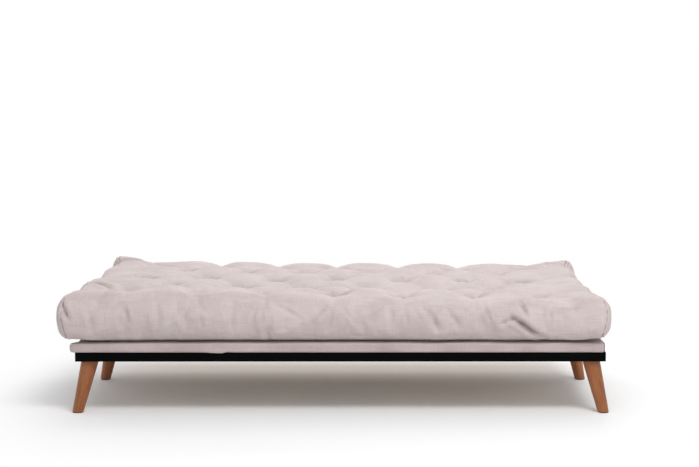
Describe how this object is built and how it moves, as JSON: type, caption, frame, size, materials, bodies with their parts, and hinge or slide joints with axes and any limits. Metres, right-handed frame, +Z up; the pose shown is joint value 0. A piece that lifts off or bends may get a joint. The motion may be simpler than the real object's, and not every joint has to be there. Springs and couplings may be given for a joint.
{
  "type": "futon sofa bed",
  "caption": "Click-clack futon sofa bed on splayed wooden legs: a tufted mattress on two slatted decks, hinged so that the back folds up from bed to sofa.",
  "frame": {"origin": "on the floor under the middle of the mattress, with the sofa bed lying flat", "axes": "+X along the length, to the right seen from the front; the front faces -Y; +Z up"},
  "size_m": [1.968, 1.16, 0.4363],
  "materials": {
    "frame_steel": "black satin powder coat",
    "hinge_steel": "black pressed steel",
    "zinc_fixings": "zinc plated",
    "leg_wood": "stained beech, satin lacquer",
    "deck_wood": "planed pine",
    "slat_wood": "bent birch plywood",
    "black_plastic": "moulded",
    "washer_nylon": "moulded nylon",
    "glide_felt": "pressed felt",
    "buffer_rubber": "matt",
    "pad_fabric": "linen weave, greige",
    "mattress_fabric": "linen weave, pinkish greige"
  },
  "bodies": {
    "base": {"front_rail": "frame_steel", "rear_rail": "frame_steel", "rail_end_caps": "black_plastic", "side_rail_left": "frame_steel", "side_rail_right": "frame_steel", "cross_member_left": "frame_steel", "cross_member_centre": "frame_steel", "cross_member_right": "frame_steel", "leg_plates": "frame_steel", "leg_front_left": "leg_wood", "leg_front_right": "leg_wood", "leg_rear_left": "leg_wood", "leg_rear_right": "leg_wood", "leg_bolts": "zinc_fixings", "foot_glides": "glide_felt", "rest_buffers": "buffer_rubber", "seat_front_board": "deck_wood", "seat_rear_board": "deck_wood", "seat_end_board_left": "deck_wood", "seat_end_board_right": "deck_wood", "seat_bearers": "deck_wood", "seat_slats": "slat_wood", "seat_slat_holders": "black_plastic", "deck_bolts": "zinc_fixings", "seat_pad": "pad_fabric", "hinge_plate_left": "hinge_steel", "hinge_plate_right": "hinge_steel", "hinge_pin_left": "zinc_fixings", "hinge_pin_right": "zinc_fixings", "hinge_washers": "washer_nylon", "hinge_bolts": "zinc_fixings", "pawl_pin_left": "zinc_fixings", "pawl_pin_right": "zinc_fixings", "pawl_spring_left": "zinc_fixings", "pawl_spring_right": "zinc_fixings", "mattress_seat": "mattress_fabric", "mattress_fold": "mattress_fabric"},
    "back": {"back_front_board": "deck_wood", "back_top_board": "deck_wood", "back_end_board_left": "deck_wood", "back_end_board_right": "deck_wood", "back_bearers": "deck_wood", "back_slats": "slat_wood", "back_slat_holders": "black_plastic", "back_pad": "pad_fabric", "hinge_arm_left": "hinge_steel", "hinge_arm_right": "hinge_steel", "arm_screws": "zinc_fixings", "mattress_back": "mattress_fabric"},
    "pawl_left": {"pawl_left": "hinge_steel"},
    "pawl_right": {"pawl_right": "hinge_steel"}
  },
  "joints": [
    {"name": "back_recline", "type": "hinge", "parent": "base", "child": "back", "pos_m": [0, 0.075, 0.24], "axis": [1, 0, 0], "range_deg": [0, 75], "deforming": ["mattress_fold"]},
    {"name": "pawl_left_swing", "type": "hinge", "parent": "base", "child": "pawl_left", "pos_m": [-0.938, 0.041, 0.21], "axis": [1, 0, 0], "range_deg": [0, 13], "deforming": ["pawl_spring_left"]},
    {"name": "pawl_right_swing", "type": "hinge", "parent": "base", "child": "pawl_right", "pos_m": [0.938, 0.041, 0.21], "axis": [1, 0, 0], "range_deg": [0, 13], "deforming": ["pawl_spring_right"]}
  ]
}
